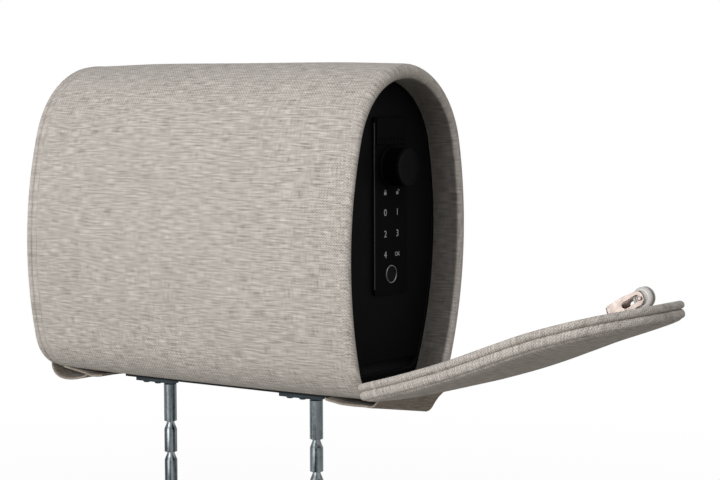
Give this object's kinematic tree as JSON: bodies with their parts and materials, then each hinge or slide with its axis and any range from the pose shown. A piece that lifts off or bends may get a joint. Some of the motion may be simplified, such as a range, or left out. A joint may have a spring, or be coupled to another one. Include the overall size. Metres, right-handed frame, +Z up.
{
  "type": "car headrest safe",
  "caption": "Upholstered car seat headrest that hides a steel safe: two notched posts, padded end flaps on cloth hinges, a drawer with keypad, fingerprint reader and lock knob",
  "frame": {"origin": "midway between the two posts, at the level of the brackets' upper faces under the body", "axes": "+X along the body to the end whose flap stands open, +Y from the front cushion to the back, +Z up along the posts"},
  "size_m": [0.5283, 0.1598, 0.4076],
  "materials": {
    "linen": "light grey-beige linen weave with thick and thin threads",
    "foam": "open-cell upholstery foam, dull",
    "liner": "soft dull foam lining",
    "black_steel": "satin black powder coat",
    "post_chrome": "polished turned steel",
    "zinc": "dark blue-grey zinc plate",
    "nickel": "warm bright nickel plate",
    "bolt_steel": "ground steel",
    "black_plastic": "fine satin black moulding",
    "gloss_black": "smooth black keypad plate",
    "fibre_board": "stiff fibre board",
    "grey_rubber": "soft grey roller",
    "brass": "machined brass",
    "circuit_green": "solder-masked board",
    "dark_glass": "dark sensor window"
  },
  "bodies": {
    "case": {"fabric_cover": "linen", "foam_wrap": "foam", "steel_shell": "black_steel", "shell_end_plate": "black_steel", "bolt_frame": "black_steel", "base_channel": "black_steel", "bracket_right": "zinc", "post_right": "post_chrome", "bracket_left": "zinc", "post_left": "post_chrome", "bracket_screw_right_1": "zinc", "bracket_screw_right_2": "zinc", "bracket_screw_left_1": "zinc", "bracket_screw_left_2": "zinc", "catch_strike_right": "black_steel", "catch_strike_left": "black_steel", "strap_tail_right": "linen", "strap_tail_left": "linen", "slide_rail_front": "zinc", "slide_rail_back": "zinc"},
    "drawer": {"drawer_front": "black_steel", "drawer_tray": "black_steel", "tray_liner": "liner", "slide_member_front": "zinc", "slide_member_back": "zinc", "control_plate": "gloss_black", "key_cylinder": "brass", "fingerprint_ring": "post_chrome", "fingerprint_lens": "dark_glass", "lock_case": "black_steel", "circuit_board": "circuit_green", "battery_box": "black_plastic", "lock_solenoid": "bolt_steel"},
    "knob": {"lock_knob": "black_plastic", "knob_spindle": "bolt_steel", "bolt_pinion": "bolt_steel"},
    "bolt_front": {"lock_bolt_front": "bolt_steel"},
    "bolt_back": {"lock_bolt_back": "bolt_steel"},
    "key_cover": {"key_cover": "black_plastic"},
    "key_plug": {"key_plug": "brass"},
    "strap_right": {"strap_loop_right": "linen"},
    "flap_right": {"flap_inner_pad_right": "linen", "flap_board_right": "fibre_board", "flap_outer_pad_right": "linen", "catch_bracket_right": "nickel", "catch_screw_right": "nickel"},
    "axle_right": {"catch_axle_right": "nickel"},
    "roller_right": {"catch_roller_right": "grey_rubber"},
    "flap_left": {"flap_inner_pad_left": "linen", "flap_board_left": "fibre_board", "flap_outer_pad_left": "linen", "catch_bracket_left": "nickel", "catch_screw_left": "nickel", "strap_loop_left": "linen"},
    "axle_left": {"catch_axle_left": "nickel"},
    "roller_left": {"catch_roller_left": "grey_rubber"}
  },
  "joints": [
    {"name": "drawer_slide", "type": "slide", "parent": "case", "child": "drawer", "axis": [1, 0, 0], "range_m": [0, 0.17]},
    {"name": "strap_drop", "type": "hinge", "parent": "case", "child": "strap_right", "pos_m": [0.15, 0, -0.0074], "axis": [0, 1, 0], "range_deg": [0, 25]},
    {"name": "right_flap_hinge", "type": "hinge", "parent": "strap_right", "child": "flap_right", "pos_m": [0.1523, 0, 0.018], "axis": [0, 1, 0], "range_deg": [-72.3, 0]},
    {"name": "left_flap_hinge", "type": "hinge", "parent": "case", "child": "flap_left", "pos_m": [-0.1523, 0, 0.0097], "axis": [0, -1, 0], "range_deg": [0, 72.3], "deforming": ["strap_loop_left"]},
    {"name": "knob_turn", "type": "hinge", "parent": "drawer", "child": "knob", "pos_m": [0.13, 0.01965, 0.168], "axis": [1, 0, 0], "range_deg": [0, 90]},
    {"name": "front_bolt_slide", "type": "slide", "parent": "drawer", "child": "bolt_front", "axis": [0, -1, 0], "range_m": [0, 0.00707]},
    {"name": "back_bolt_slide", "type": "slide", "parent": "drawer", "child": "bolt_back", "axis": [0, 1, 0], "range_m": [0, 0.00707]},
    {"name": "key_cover_slide", "type": "slide", "parent": "drawer", "child": "key_cover", "axis": [0, 0, 1], "range_m": [0, 0.013]},
    {"name": "key_turn", "type": "hinge", "parent": "drawer", "child": "key_plug", "pos_m": [0.12, 0.01965, 0.192], "axis": [1, 0, 0], "range_deg": [0, 90]},
    {"name": "right_catch_slide", "type": "slide", "parent": "flap_right", "child": "axle_right", "axis": [-0.8415, 0, -0.5402], "range_m": [0, 0.004], "stiffness_N_per_m": 1200, "springref_m": -0.002},
    {"name": "right_roller_spin", "type": "hinge", "parent": "axle_right", "child": "roller_right", "pos_m": [0.33976, 0, 0.08843], "axis": [0, 1, 0], "continuous": true},
    {"name": "left_catch_slide", "type": "slide", "parent": "flap_left", "child": "axle_left", "axis": [-0.2588, 0, -0.9659], "range_m": [0, 0.004], "stiffness_N_per_m": 1200, "springref_m": -0.002},
    {"name": "left_roller_spin", "type": "hinge", "parent": "axle_left", "child": "roller_left", "pos_m": [-0.1422, 0, 0.218], "axis": [0, 1, 0], "continuous": true}
  ],
  "couplings": [
    {"joint": "strap_drop", "follows": "drawer_slide", "rad_per_m": 2.566},
    {"joint": "knob_turn", "follows": "front_bolt_slide", "rad_per_m": 222.17},
    {"joint": "back_bolt_slide", "follows": "front_bolt_slide", "ratio": 1}
  ]
}
